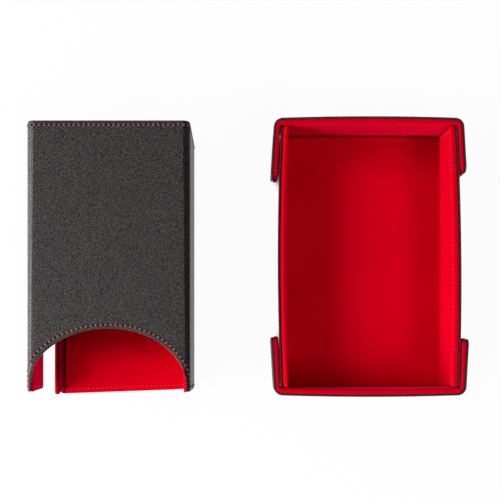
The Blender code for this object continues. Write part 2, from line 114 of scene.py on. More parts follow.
# Dressing
SPACING = 0.0060
BEND_STEPS = 10
OVERLAP = 0.0010
TAB_PILE = 0.0010
CORNER_LAP = 0.0007
END_GROOVE = 0.0011
TAB_PILE_GAP = 0.0006
VELVET_SHEET = 0.0007
STITCH_INSET = 0.0031
ARCH_STEPS = 48
ARCH_RAMP = 0.0002
TAB_RAMP = 0.0006
STITCH_PITCH = 0.0035
STITCH_LENGTH = 0.0025
STITCH_WIDTH = 0.0016
STITCH_RISE = 0.0004
TRAY_STITCH_RISE = 0.0002
STITCH_RINGS = (
    (-0.5, 0.30, -0.55),
    (-0.38, 0.78, 0.25),
    (-0.14, 1.0, 0.9),
    (0.14, 1.0, 0.9),
    (0.38, 0.78, 0.25),
    (0.5, 0.30, -0.55),
)  # each a share of the stitch's length, of its width and of its rise
STITCH_SIDES = 6
HOLE_LENGTH = 0.0018
HOLE_WIDTH = 0.0024
HOLE_RINGS = ((1.0, -0.00012), (0.8, 0.00004))  # each a share of the hole's size, and a rise
HOLE_SIDES = 8
LINING_STITCH = (0.0006, 0.0002, 0.0007)  # width, rise and the hole's width
SLEEVE_RADIUS = 0.0013
STRIP_RADIUS = 0.00035
WELD = 1e-7
QUARTER = [math.radians(90) * step / 5 for step in range(6)]

# Stage
TABLE_REACH = 4.0
TABLE_Z = -0.0001
PRESSED_Z = -0.00005
CAMERA_AT = (-0.0886, -0.0747, 0.607)
SENSOR = 36
LENS = 55.5
SHIFT_UP = 0.214
LIT_MIDDLE = (-0.09, 0, 0)

SIDE_OUT = TRAY_HALF_WIDTH + TRAY_THICKNESS
END_OUT = TRAY_HALF_LENGTH + TRAY_THICKNESS
END_NAMES = {-1: "near", 1: "far"}
SIDE_NAMES = {-1: "left", 1: "right"}
RIGHT_LEAN = math.radians(RIGHT_LEAN_DEG)


def tab_name(end, side):
    return f"{END_NAMES[end]}_{SIDE_NAMES[side]}_tab"


def tab_out(end, side):
    return SIDE_OUT + TAB_STANDOFFS[tab_name(end, side)] + TAB_THICKNESS


def inset_of(radius):
    return radius * (1 - math.cos(math.radians(45)))


FOLD_SPACING = TOWER_DEPTH - 2 * inset_of(TOWER_RADIUS)
FRONT_FACE = TOWER_DEPTH - FOLD_SPACING * (1 - math.cos(RIGHT_LEAN))
BACK_LEFT = TOWER_THICKNESS + FLAP_CLEARANCE
BACK_RIGHT = TOWER_WIDTH - FOLD_SPACING * math.sin(RIGHT_LEAN)
BACK_WIDTH = BACK_RIGHT - BACK_LEFT
TOWER_AT = Vector(
    (-tab_out(-1, -1) - TOWER_TO_TRAY - TOWER_WIDTH, TOWER_OFFSET_Y - TOWER_LENGTH / 2, 0)
)


# ---------------------------------------------------------------- materials


class Output:
    """An output of a shader node. Sums, products and comparisons of it are nodes as well."""

    def __init__(self, socket):
        self.socket = socket

    def __add__(self, other):
        return math_of("ADD", self, other)

    def __sub__(self, other):
        return math_of("SUBTRACT", self, other)

    def __rsub__(self, other):
        return math_of("SUBTRACT", other, self)

    def __mul__(self, other):
        return math_of("MULTIPLY", self, other)

    def __lt__(self, other):
        return math_of("LESS_THAN", self, other)


def connect(entry, value):
    """Gives a node's input its value, or the output that it takes it from."""
    if isinstance(value, Output):
        entry.id_data.links.new(value.socket, entry)
    else:
        entry.default_value = value


def fill(node, **inputs):
    """Sets inputs by their names, in which _ stands for a space."""
    for name, value in inputs.items():
        connect(node.inputs[name.replace("_", " ")], value)


def node_of(tree, kind, output, **inputs):
    node = tree.nodes.new(f"ShaderNode{kind}")
    fill(node, **inputs)
    return Output(node.outputs[output])


def math_of(operation, first, second):
    tree = (first if isinstance(first, Output) else second).socket.id_data
    node = tree.nodes.new("ShaderNodeMath")
    node.operation = operation
    connect(node.inputs[0], first)
    connect(node.inputs[1], second)
    return Output(node.outputs[0])


def shader_of(name):
    made = bpy.data.materials.new(name)
    made.use_nodes = True
    return made, made.node_tree, made.node_tree.nodes["Principled BSDF"]


def place_of(tree, scale):
    where = node_of(tree, "TexCoord", "Object")
    scale = scale if isinstance(scale, tuple) else (scale, scale, scale)
    return node_of(tree, "Mapping", "Vector", Vector=where, Scale=scale)


def noise_of(tree, scale, detail=2.0, rough=0.5):
    place = place_of(tree, scale)
    return node_of(tree, "TexNoise", "Fac", Vector=place, Scale=1.0, Detail=detail, Roughness=rough)


def cells_of(tree, scale):
    return node_of(tree, "TexVoronoi", "Distance", Vector=place_of(tree, scale), Scale=1.0)


def ramp_of(source, stops):
    ramp = source.socket.id_data.nodes.new("ShaderNodeValToRGB")
    while len(ramp.color_ramp.elements) < len(stops):
        ramp.color_ramp.elements.new(0.5)
    for element, (at, colour) in zip(ramp.color_ramp.elements, stops):
        element.position = at
        element.color = (*colour, 1)
    fill(ramp, Fac=source)
    return Output(ramp.outputs["Color"])


def bump_of(height, strength, distance):
    tree = height.socket.id_data
    return node_of(tree, "Bump", "Normal", Height=height, Strength=strength, Distance=distance)


def occlusion_of(tree, distance, low, high, darkest):
    """1 in the open, and down to the darkest share in creases and crevices."""
    nearby = node_of(tree, "AmbientOcclusion", "AO", Distance=distance)
    return ramp_of(nearby, [(low, (darkest,) * 3), (high, (1, 1, 1))])


def times(colour, share):
    mix = colour.socket.id_data.nodes.new("ShaderNodeMix")
    mix.data_type = "RGBA"
    mix.blend_type = "MULTIPLY"
    fill(mix, Factor=1.0)
    connect(mix.inputs[6], colour)
    connect(mix.inputs[7], share)
    return Output(mix.outputs[2])


def between(value, start, end):
    """0 before the start, 1 past the end and a smooth rise between them."""
    node = value.socket.id_data.nodes.new("ShaderNodeMapRange")
    node.interpolation_type = "SMOOTHSTEP"
    fill(node, Value=value, From_Min=start, From_Max=end)
    return Output(node.outputs["Result"])


LEATHER_STOPS = (
    (0.05, (0.0012, 0.0010, 0.0010)),
    (0.50, (0.0180, 0.0152, 0.0152)),
    (0.95, (0.0780, 0.0680, 0.0665)),
)


def leather_material(name, share, gloss=0.25, grain=1.0):
    made, tree, shader = shader_of(name)
    cells = cells_of(tree, (1120, 980, 1040))
    pebbles = cells_of(tree, 1700)
    creases = noise_of(tree, (2600, 2000, 2300), 1.0)
    tone = cells * -2.5 + creases * 1.7 + noise_of(tree, 60) * 0.16 + 0.23
    stops = [(at, [share * part for part in colour]) for at, colour in LEATHER_STOPS]
    colour = ramp_of(tone * grain + 0.5, stops)
    height = cells * -1.0 + pebbles * -0.5 + creases * 0.9
    fill(
        shader,
        Base_Color=times(colour, occlusion_of(tree, 0.003, 0.3, 0.6, 0.4)),
        Roughness=0.43,
        Specular_IOR_Level=gloss,
        Normal=bump_of(height, 0.7, 0.0003),
    )
    return made


def place_in(tree):
    """A point's x in the row frame, its x and y a little astray so that no edge is ruled, and z."""
    parts = tree.nodes.new("ShaderNodeSeparateXYZ")
    fill(parts, Vector=node_of(tree, "TexCoord", "Object"))
    x, y, z = (Output(parts.outputs[axis]) for axis in "XYZ")
    stray = (noise_of(tree, 18) - 0.5) * 0.012
    return x, x + stray, y + stray, z


def tray_nap(tree):
    """The floor's pile is brushed the other way, and darker, towards its right and far walls.
    The far wall's is darker too."""
    _, x, y, z = place_in(tree)
    right = between(x, TRAY_HALF_WIDTH - 0.037, TRAY_HALF_WIDTH - 0.012)
    right = right * between(y, -0.092, -0.060)
    far = between(y, TRAY_HALF_LENGTH - 0.042, TRAY_HALF_LENGTH - 0.002)
    far = far * between(x, -0.032, -0.008)
    floor = z < TRAY_THICKNESS + 0.0006
    wall = between(y, TRAY_HALF_LENGTH - 0.0012, TRAY_HALF_LENGTH)
    wall = wall * (1.0 - floor) * (z < TRAY_HEIGHT - 0.003)
    return 1.0 - ((right * 0.30 + far * 0.38 - 0.08) * floor + wall * 0.16)


def rim_nap(tree):
    """The left wall's pile stands up on its rim, and is paler there."""
    return between(place_in(tree)[3], TRAY_HEIGHT - 0.0030, TRAY_HEIGHT - 0.0012) * 0.38 + 1.0


def tower_nap(tree):
    """The back's pile is brushed inwards, and darker away from its foot."""
    _, _, y, z = place_in(tree)
    deep = between(y, TOWER_AT.y + 0.016, TOWER_AT.y + 0.045)
    return 1.0 - deep * (z < TOWER_THICKNESS + 0.0006) * 0.55


def flap_nap(tree):
    """The flap's pile is pressed flat on its inner face, and dark but for its foot."""
    x, _, y, _ = place_in(tree)
    edge = TOWER_AT.x + BACK_LEFT + 0.0016
    inner = between(x, edge, edge + 0.0012)
    return 1.0 - inner * (between(y, TOWER_AT.y - 0.002, TOWER_AT.y + 0.020) * 0.34 + 0.60)


VELVET_STOPS = ((0.25, 0.58, 0.0090), (0.5, 0.63, 0.0105), (0.75, 0.68, 0.0120))


def velvet_material(name, share, darkest, brushed):
    made, tree, shader = shader_of(name)
    pile = noise_of(tree, 2600, 2.0, 0.6)
    tone = noise_of(tree, 22, 3.0, 0.55) * 0.7 + pile * 0.3
    colour = ramp_of(tone, [(at, (share * red, 0.0, share * blue)) for at, red, blue in VELVET_STOPS])
    colour = times(colour, occlusion_of(tree, 0.004, 0.4, 0.75, darkest))
    fill(
        shader,
        Base_Color=times(colour, brushed(tree)),
        Roughness=1.0,
        Specular_IOR_Level=0.0,
        Sheen_Weight=1.0,
        Sheen_Roughness=0.35,
        Sheen_Tint=(1.0, 0.004, 0.10, 1),
        Normal=bump_of(pile, 0.35, 0.00015),
    )
    return made


def plain_material(name, grain, dark, light, bump=None, **inputs):
    """A material whose colour goes from dark to light with one noise, which may be a bump too."""
    made, tree, shader = shader_of(name)
    tone = noise_of(tree, *grain)
    if bump:
        inputs["Normal"] = bump_of(tone, *bump)
    fill(shader, Base_Color=ramp_of(tone, [(0.3, dark), (0.7, light)]), **inputs)
    return made


def board_material():
    made, tree, shader = shader_of("greyboard")
    pulp = noise_of(tree, 900, 4.0, 0.65)
    tone = pulp * 0.6 + noise_of(tree, 140) * 0.4
    colour = ramp_of(tone, [(0.35, (0.33, 0.27, 0.20)), (0.65, (0.50, 0.43, 0.33))])
    fill(shader, Base_Color=colour, Roughness=0.92, Normal=bump_of(pulp, 0.4, 0.0002))
    return made


LEATHER = leather_material("leatherette", 0.84)
PALE_LEATHER = leather_material("leatherette_pale", 3.2, 0.4, 0.35)
DARK_LEATHER = leather_material("leatherette_dark", 0.5, 0.08)
TRAY_LEATHER = leather_material("leatherette_tray", 1.0, grain=0.55)
VELVET = velvet_material("velvet", 1.0, 0.4, tray_nap)
RIM_VELVET = velvet_material("velvet_rim", 1.0, 0.4, rim_nap)
TOWER_VELVET = velvet_material("velvet_tower", 1.1, 0.5, tower_nap)
FLAP_VELVET = velvet_material("velvet_flap", 1.0, 0.7, flap_nap)
THREAD = plain_material(
    "thread",
    (2400, 2.0),
    (0.090, 0.030, 0.032),
    (0.210, 0.095, 0.092),
    (0.5, 0.0001),
    Roughness=0.6,
    Specular_IOR_Level=0.3,
)
HOLE = plain_material(
    "stitch_hole",
    (1800, 1.0),
    (0.026, 0.003, 0.004),
    (0.070, 0.007, 0.009),
    Roughness=0.9,
    Specular_IOR_Level=0.0,
)
RED_THREAD = plain_material(
    "red_thread",
    (2400, 1.0),
    (0.72, 0.012, 0.040),
    (0.86, 0.030, 0.070),
    Roughness=0.8,
    Specular_IOR_Level=0.1,
)
BOARD = board_material()
NICKEL = plain_material(
    "nickel",
    (700, 2.0),
    (0.48, 0.47, 0.46),
    (0.62, 0.61, 0.60),
    (0.1, 0.0001),
    Metallic=1.0,
    Roughness=0.32,
)


# ---------------------------------------------------------------- meshes


def held(share):
    return min(1, max(0, share))


def eased(share):
    """A smooth rise from 0 to 1, and flat outside them."""
    share = held(share)
    return share * share * (3 - 2 * share)


class Shell:
    """Pairs of an outer and an inner point, and cells between them, closed into one body."""

    def __init__(self):
        self.pairs = []
        self.cells = []

    def add(self, outer, inner):
        self.pairs.append((outer, inner))
        return len(self.pairs) - 1

    def grid(self, columns, rows, pair_at, ring=False):
        """Cells between the points of a range of columns, whose rows may close into a ring."""
        keys = {}
        for i in columns:
            for j in range(rows if ring else rows + 1):
                keys[i, j, 0] = self.add(*pair_at(i, j))
        for i in columns[:-1]:
            for j in range(rows):
                after = (j + 1) % rows if ring else j + 1
                corners = ((i, j), (i + 1, j), (i + 1, after), (i, after))
                self.cells.append(tuple(keys[*corner, 0] for corner in corners))
        return keys

    def mesh(self, name):
        count = len(self.pairs)
        points = [pair[0] for pair in self.pairs] + [pair[1] for pair in self.pairs]
        faces = list(self.cells)
        faces += [tuple(index + count for index in reversed(cell)) for cell in self.cells]
        edges = {edge for cell in self.cells for edge in zip(cell, cell[1:] + cell[:1])}
        for start, end in sorted(edges):
            if (end, start) not in edges:
                faces.append((end, start, start + count, end + count))
        return closed_mesh(name, points, faces)


def closed_mesh(name, points, faces, flags=None):
    """A mesh with its normals outwards. flags, for stitches, are the faces' material numbers."""
    mesh = bpy.data.meshes.new(name)
    mesh.from_pydata([tuple(point) for point in points], [], faces)
    builder = bmesh.new()
    builder.from_mesh(mesh)
    if flags:
        for face, flag in zip(builder.faces, flags):
            face.material_index = flag
    else:
        bmesh.ops.remove_doubles(builder, verts=builder.verts, dist=WELD)
    bmesh.ops.recalc_face_normals(builder, faces=builder.faces)
    builder.to_mesh(mesh)
    builder.free()
    mesh.shade_smooth()
    mesh.set_sharp_from_angle(angle=math.radians(60 if flags else 50))
    return mesh


def tube_faces(base, rings, sides):
    """The faces of a closed tube, whose points go round it ring by ring from number base."""
    faces = []
    for low in range(base, base + (rings - 1) * sides, sides):
        high = low + sides
        for side in range(sides):
            after = (side + 1) % sides
            faces.append((low + side, low + after, high + after, high + side))
    last = base + (rings - 1) * sides
    faces.append(tuple(reversed(range(base, base + sides))))
    faces.append(tuple(range(last, last + sides)))
    return faces

def add_piece(name, mesh, materials, slot, body, ends=None, replaced=()):
    """A piece that rides on a body, or bends between two, given as (body, body) and two points."""
    piece = bpy.data.objects.new(name, mesh)
    bpy.context.scene.collection.objects.link(piece)
    for material in materials:
        piece.data.materials.append(material)
    if ends:
        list(body)
        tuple(ends[0])
        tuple(ends[1])
        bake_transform(piece)
    else:
        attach(piece, body)
    if replaced:
        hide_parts(*replaced)
    return piece


def axes_at(place, right, up, out):
    turned = Matrix((right, up, out)).transposed()
    return Matrix.Translation(place) @ turned.to_4x4()


class Plane:
    """A flat field. It maps its own x, y and a depth below its outer face to the row frame."""

    def __init__(self, matrix, shift=None, skew=None):
        self.matrix = matrix
        self.shift = shift or (lambda x, y: 0)
        self.skew = skew or (lambda x: 0)

    def at(self, x, y, depth):
        return self.matrix @ Vector((x, y + self.skew(x), self.shift(x, y) - depth))


def about(frame_matrix, hinge, angle):
    """A frame turned about an axis along its own y, which passes through hinge."""
    there = Matrix.Translation(hinge)
    return frame_matrix @ there @ Matrix.Rotation(angle, 4, "Y") @ there.inverted()


def along(plane, start):
    """How a run lies on a plane, from the plane's x at its start."""
    return lambda s, v, depth: plane.at(start + s, v, depth)


class Run:
    """A stretch of a wrap. at(s, v, depth) is a point on it, and s is 0 at its start."""

    def __init__(self, length, at, thickness, marks=()):
        self.length = length
        self.at = at
        self.thickness = thickness
        self.marks = marks

    def places(self):
        count = max(1, round(self.length / SPACING))
        even = [self.length * step / count for step in range(count + 1)]
        marks = sorted(mark for mark in self.marks if TINY < mark < self.length - TINY)
        kept = [place for place in even if all(abs(place - mark) > SPACING / 3 for mark in marks)]
        return sorted({0.0, self.length} | set(kept) | set(marks))

    def thickness_at(self, s):
        return self.thickness(s) if callable(self.thickness) else self.thickness


class Bend:
    """The fold between two flat runs: a round corner that keeps to both at its ends."""

    def __init__(self, before, after, radius, marks=(), groove=0.0):
        self.groove = groove
        self.before = before
        self.after = after
        start, start_way, end, end_way = self.ends(0.0, 0.0)
        self.length = radius * start_way.angle(end_way)
        self.marks = marks

    def ends(self, v, depth):
        start = self.before.at(self.before.length, v, depth)
        start_way = (start - self.before.at(self.before.length - TINY * 10, v, depth)).normalized()
        end = self.after.at(0, v, depth)
        end_way = (self.after.at(TINY * 10, v, depth) - end).normalized()
        return start, start_way, end, end_way

    def at(self, s, v, depth):
        if s < 0:
            return self.before.at(self.before.length + s, v, depth)
        if s > self.length:
            return self.after.at(s - self.length, v, depth)
        start, start_way, end, end_way = self.ends(v, depth)
        turn = start_way.angle(end_way)
        reach = (end - start).length * 2 / 3 * math.tan(turn / 4) / math.sin(turn / 2)
        share = s / self.length
        rest = 1 - share
        first = start + start_way * reach
        second = end - end_way * reach
        return (
            start * rest**3
            + first * 3 * rest**2 * share
            + second * 3 * rest * share**2
            + end * share**3
        )

    def places(self):
        even = [self.length * step / BEND_STEPS for step in range(BEND_STEPS + 1)]
        marks = [mark for mark in self.marks if TINY < mark < self.length - TINY]
        return sorted(set(even) | set(marks))

    def thickness_at(self, s):
        share = eased(s / self.length)
        before = self.before.thickness_at(self.before.length)
        groove = self.groove * math.sin(math.pi * share)
        return before * (1 - share) + self.after.thickness_at(0) * share - groove


class Wrap:
    """Runs and bends end to end. u runs along them, v across, and both are metres."""

    def __init__(self, runs, low, high, free_start, free_end, trim):
        self.runs = runs
        self.trim = trim
        self.made = {}
        self.starts = []
        self.length = 0.0
        places = []
        for run in runs:
            self.starts.append(self.length)
            places += [round(self.length + place, 9) for place in run.places()]
            self.length += run.length
        self.stations = []
        for place in sorted(places):
            if not self.stations or place - self.stations[-1] > TINY:
                self.stations.append(place)
        self.free_start = free_start
        self.free_end = free_end
        self.lows = [Vector((place, low(place))) for place in self.stations]
        self.highs = [Vector((place, high(place))) for place in self.stations]
        self.low_ways, self.high_ways = self.outward()

    def run_at(self, u):
        index = 0
        for number, start in enumerate(self.starts):
            if u >= start - TINY / 10:
                index = number
        return index

    def point(self, u, v, depth):
        index = self.run_at(u)
        return self.runs[index].at(u - self.starts[index], v, depth)

    def thickness_at(self, u):
        index = self.run_at(u)
        return self.runs[index].thickness_at(u - self.starts[index])

    def outward(self):
        """The outward direction at every boundary point, in (u, v)."""
        ring = self.lows + self.highs[::-1]
        count = len(ring)
        ways = []
        for index, point in enumerate(ring):
            sides = []
            for start, end in ((ring[index - 1], point), (point, ring[(index + 1) % count])):
                along = end - start
                if along.length > TINY / 10:
                    sides.append(Vector((along.y, -along.x)).normalized())
            ways.append(sum(sides, Vector((0, 0))).normalized())
        half = len(self.lows)
        lows, highs = ways[:half], ways[half:][::-1]
        if not self.free_start:
            lows[0], highs[0] = Vector((0, -1)), Vector((0, 1))
        if not self.free_end:
            lows[-1], highs[-1] = Vector((0, -1)), Vector((0, 1))
        return lows, highs

    def index_of(self, u):
        return min(range(len(self.stations)), key=lambda index: abs(self.stations[index] - u))


# How a free edge is finished: how far the leather and the velvet stand out past the outline, how
# wide the leather rolls off, how deep it is turned in, how deep the velvet's hem and the trough
# beside it lie, and how round the hem is
Trim = namedtuple("Trim", "leather_out roll turn velvet_out hem trough foot")
TRAY_TRIM = Trim(-0.0003, 0.0005, 0.0008, 0.0001, 0.0016, 0.0003, 0.0009)
TOWER_TRIM = Trim(0.0, 0.0018, SKIN, 0.0, 0.0018, 0.0003, 0.0009)
LEFT_WALL_TRIM = TRAY_TRIM._replace(foot=0.0019, hem=0.0018)
BACK_FOOT = Trim(0.0004, 0.0018, SKIN, 0.0004, 0.0018, 0.0003, 0.0009)
ARCH_LEFT_TRIM = Trim(0.0001, 0.0020, 0.0034, -0.0006, 0.0036, 0.0001, 0.0009)
ARCH_TRIM = Trim(-0.0002, 0.0020, 0.0034, -0.0006, 0.0036, 0.0001, 0.0009)
ARCH_RIGHT_TRIM = Trim(0.0, 0.0020, SKIN, 0.0006, 0.0015, 0.0001, 0.0009)
FLAP_TRIM = Trim(-0.0016, 0.0006, SKIN, 0.0002, 0.0002, 0.0001, 0.0009)
FLAP_FOOT = Trim(-0.0014, 0.0018, SKIN, -0.0014, 0.0015, 0.0001, 0.0009)


def mixed_trim(first, second, share):
    share = eased(share)
    return Trim(*(start * (1 - share) + end * share for start, end in zip(first, second)))


def leather_rings(thickness, trim):
    """Steps out from the inset outline: the outer and the inner surface, each as (out, depth)."""
    roll, turn = trim.roll, trim.turn
    drop = min(0.00045, roll)
    rings = []
    for angle in QUARTER:
        out = roll * math.sin(angle)
        sunk = drop * (1 - math.cos(angle))
        share = held(out / roll)
        back = SKIN + min(0, turn - SKIN) * share * share
        rings.append([(out, sunk), (out, back - sunk * 0.8)])
    back = min(turn, SKIN)
    deep = held((turn - SKIN) / 0.0008)
    rings.append([(roll, max(drop + 0.00002, turn - drop)), (roll, max(drop + 0.00004, back - drop))])
    if deep > 0:
        inside = roll - 0.0007
        paths = [(inside - 0.0001, SKIN)]
        paths += [(inside, SKIN + step) for step in (0.0001, 0.0002, 0.0003)]
        paths.append((inside + 0.0002, turn))
        for ring, new in zip(rings[2:], paths):
            ring[1] = tuple(old + (other - old) * deep for old, other in zip(ring[1], new))
    return rings


def velvet_rings(thickness, trim):
    """Over the board's edge: from the velvet's face round, and down into the trough."""
    hem = trim.hem
    top = min(0.0013, (thickness - hem) * 0.42)
    foot = min(trim.foot, (thickness - hem) * 0.5)
    thin = min(VELVET_SHEET, foot * 0.8)
    rings = []
    for angle in QUARTER:
        sine, cosine = math.sin(angle), math.cos(angle)
        reaches = (top, top - thin)
        rings.append([(reach * sine, thickness - top + reach * cosine) for reach in reaches])
    for degrees in (0, 22, 44, 66, 86):
        sine, cosine = math.sin(math.radians(degrees)), math.cos(math.radians(degrees))
        reaches = (foot, foot - thin)
        rings.append([(top - foot + reach * cosine, hem + foot - reach * sine) for reach in reaches])
    deep = top - foot - trim.trough
    bottom = max(0.0002, min(hem - 0.0001, 0.0014))
    rings.append(((deep, hem + 0.0001), (deep - thin / 2, hem + thin)))
    rings.append(((deep - 0.0001, bottom), (deep - 0.0001 - thin / 2, bottom + 0.0001)))
    return rings


Layer = namedtuple("Layer", "rings face back out")
LEATHER_LAYER = Layer(
    leather_rings,
    lambda thickness: 0.0,
    lambda thickness: SKIN,
    lambda trim: trim.leather_out,
)
VELVET_LAYER = Layer(
    velvet_rings,
    lambda thickness: thickness,
    lambda thickness: thickness - VELVET_SHEET,
    lambda trim: trim.velvet_out,
)


def panel_mesh(name, wrap, first, last, layer, low_free, high_free, rows):
    """The stretch of a wrap between two stations, in one layer, with rounded free edges."""
    shell = Shell()
    start_free = wrap.free_start and first == 0
    end_free = wrap.free_end and last == len(wrap.stations) - 1
    columns = range(first, last + 1)
    flat = {}

    def rings_at(i, high):
        return layer.rings(wrap.thickness_at(wrap.stations[i]), wrap.trim(wrap.stations[i], high))

    def inset_at(i, high):
        widest = max(ring[0][0] for ring in rings_at(i, high))
        return widest - layer.out(wrap.trim(wrap.stations[i], high))

    def pair_at(i, j):
        thickness = wrap.thickness_at(wrap.stations[i])
        return [wrap.point(*flat[i, j], side(thickness)) for side in (layer.face, layer.back)]

    for i in columns:
        low, high = wrap.lows[i], wrap.highs[i]
        if low_free:
            low = low - wrap.low_ways[i] * inset_at(i, False)
        elif start_free and i == first:
            low = low + Vector((inset_at(i, False), 0))
        elif end_free and i == last:
            low = low - Vector((inset_at(i, False), 0))
        if high_free:
            high = high - wrap.high_ways[i] * inset_at(i, True)
        for j in range(rows + 1):
            flat[i, j] = low.lerp(high, j / rows)
    keys = shell.grid(columns, rows, pair_at)
    sides = (
        (low_free, [(i, 0) for i in columns]),
        (end_free, [(last, j) for j in range(rows + 1)]),
        (high_free, [(i, rows) for i in reversed(columns)]),
        (start_free, [(first, j) for j in range(rows, -1, -1)]),
    )
    chains = []
    for free, side in sides:
        if free and chains and chains[-1]:
            chains[-1] = chains[-1] + side[1:]
        else:
            chains.append(side if free else [])
    chains = [chain for chain in chains if chain]
    if len(chains) > 1 and chains[0][0] == chains[-1][-1]:
        chains[0] = chains[-1][:-1] + chains[0]
        chains.pop()
    for chain in chains:
        closed = chain[0] == chain[-1]
        if closed:
            chain = chain[:-1]
        for i, j in chain:
            way = Vector((-1 if i == first else 1, 0))
            if j == 0 and low_free:
                way = wrap.low_ways[i]
            elif j == rows and high_free:
                way = wrap.high_ways[i]
            rings = rings_at(i, j > rows / 2)
            for step, ring in enumerate(rings[1:], 1):
                pair = [wrap.point(*(flat[i, j] + way * out), depth) for out, depth in ring]
                keys[i, j, step] = shell.add(*pair)
        after = chain[1:] + (chain[:1] if closed else [])
        for here, there in zip(chain, after):
            for step in range(1, len(rings)):
                corners = ((here, step), (there, step), (there, step - 1), (here, step - 1))
                shell.cells.append(tuple(keys[*place, level] for place, level in corners))
    return shell.mesh(name)


# ---------------------------------------------------------------- stitches

def free_path(wrap, low_free, steps=24):
    """The free boundary of a wrap in (u, v), each point with its outward way."""
    ring = []
    if low_free:
        ring += zip(wrap.lows, wrap.low_ways)
    low, high = wrap.lows[-1], wrap.highs[-1]
    ring += [(low.lerp(high, k / steps), Vector((1, 0))) for k in range(1, steps)]
    ring += zip(wrap.highs[::-1], wrap.high_ways[::-1])
    low, high = wrap.lows[0], wrap.highs[0]
    ring += [(high.lerp(low, k / steps), Vector((-1, 0))) for k in range(1, steps)]
    return ring


def clean_path(wrap, ring, inset=STITCH_INSET):
    """The inset line without the points that come too near an edge."""
    corners = wrap.lows + wrap.highs[::-1]
    edge = list(zip(corners, corners[1:] + corners[:1]))
    points = []
    for point, way in ring:
        moved = point - way * inset
        near = min(segment_distance(moved, start, end) for start, end in edge)
        if near > inset * 0.97:
            points.append(moved)
    return points


def segment_distance(point, start, end):
    along = end - start
    if along.length < TINY / 10:
        return (point - start).length
    share = min(1, max(0, (point - start).dot(along) / along.length_squared))
    return (point - start - along * share).length

Stitch = namedtuple("Stitch", "depth_at sign width rise hole")


def add_stitch(parts, wrap, here, way, kind):
    """A stitch and its hole at here along way, in (u, v), with the kind's sign 1 for leather and
    -1 for the lining."""
    points, faces, flags = parts
    side_way = Vector((-way.y, way.x))
    depth = kind.depth_at(here.x)

    def add(along, across, up):
        point = wrap.point(*(here + way * along + side_way * across), depth - kind.sign * up)
        point.z = max(point.z, PRESSED_Z)  # pressed flat where the piece stands on the table
        points.append(point)

    def close(rings, sides, flag):
        made = tube_faces(len(points) - rings * sides, rings, sides)
        faces.extend(made)
        flags.extend([flag] * len(made))

    for along, wide, high in STITCH_RINGS:
        for side in range(STITCH_SIDES):
            angle = 2 * math.pi * side / STITCH_SIDES
            up = high * kind.rise - kind.rise * 0.5 + math.sin(angle) * kind.rise * 0.62 * wide
            add(along * STITCH_LENGTH, math.cos(angle) * kind.width / 2 * wide, up)
    close(len(STITCH_RINGS), STITCH_SIDES, 0)
    for share, up in HOLE_RINGS:
        for side in range(HOLE_SIDES):
            angle = 2 * math.pi * side / HOLE_SIDES
            along = STITCH_PITCH / 2 + math.cos(angle) * HOLE_LENGTH / 2 * share
            add(along, math.sin(angle) * kind.hole / 2 * share, up)
    close(len(HOLE_RINGS), HOLE_SIDES, 1)


def stitches_along(wrap, path, spans, closed, kind):
    """Stitches of even pitch along a path, gathered by the piece that carries each."""
    if closed:
        path = path + [path[0]]
    lengths = [0.0]
    for start, end in zip(path, path[1:]):
        lengths.append(lengths[-1] + (wrap.point(*end, 0) - wrap.point(*start, 0)).length)
    count = max(1, round(lengths[-1] / STITCH_PITCH))
    pitch = lengths[-1] / count
    made = {}
    segment = 0
    for number in range(count):
        at = (number + 0.5) * pitch
        while segment < len(lengths) - 2 and lengths[segment + 1] < at:
            segment += 1
        start, end = path[segment], path[segment + 1]
        span = lengths[segment + 1] - lengths[segment]
        share = (at - lengths[segment]) / span if span > TINY / 100 else 0
        here = start.lerp(end, share)
        for name, low, high in spans:
            if low <= here.x < high:
                parts = made.setdefault(name, ([], [], []))
                add_stitch(parts, wrap, here, (end - start).normalized(), kind)
                break
    return made


# ---------------------------------------------------------------- the wraps

def leather_of(name):
    """The fold on the closing side is scuffed pale, and the fold on the other side is dark."""
    folds = {"tower_left_fold": PALE_LEATHER, "tower_front_fold": DARK_LEATHER}
    if name in folds:
        return folds[name]
    return LEATHER if name.startswith(("tower", "closing")) else TRAY_LEATHER


def velvet_of(name):
    if "flap" in name:
        return FLAP_VELVET
    if name == "tray_left_wall":
        return RIM_VELVET
    return TOWER_VELVET if name.startswith("tower") else VELVET


def pieces_of(wrap, labels):
    """A wrap's pieces, one to a run. A label is a name, a body or two and whether the low edge
    is free."""
    pieces = []
    for (name, body, low_free), start, run in zip(labels, wrap.starts, wrap.runs):
        pieces.append((name, body, start, start + run.length, low_free, True))
    return pieces

def dress(wrap, pieces, rows):
    """Makes a wrap's leather and velvet. Each piece: its name, the body or bodies, its first
    and last u, and whether its low and its high edge are free."""
    spans = []
    for name, body, low_u, high_u, low_free, high_free in pieces:
        first, last = wrap.index_of(low_u), wrap.index_of(high_u)
        middle = (wrap.lows[first] + wrap.highs[first]) / 2
        ends = None
        if isinstance(body, tuple):
            begin = wrap.point(wrap.stations[first], middle.y, SKIN / 2)
            finish = wrap.point(wrap.stations[last], middle.y, SKIN / 2)
            ends = (begin, finish)
        for layer, label, material, slot, node in (
            (LEATHER_LAYER, "leather", leather_of(name), "leatherette", f"{name}_skin"),
            (VELVET_LAYER, "velvet", velvet_of(name), "velvet", f"{name}_lining"),
        ):
            title = f"{name}_{label}"
            mesh = panel_mesh(title, wrap, first, last, layer, low_free, high_free, rows)
            replaced = (node,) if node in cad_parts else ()
            add_piece(title, mesh, [material], slot, body, ends, replaced)
        spans.append((name, wrap.stations[first], wrap.stations[last]))
        wrap.made[name] = (body, ends)
    return spans

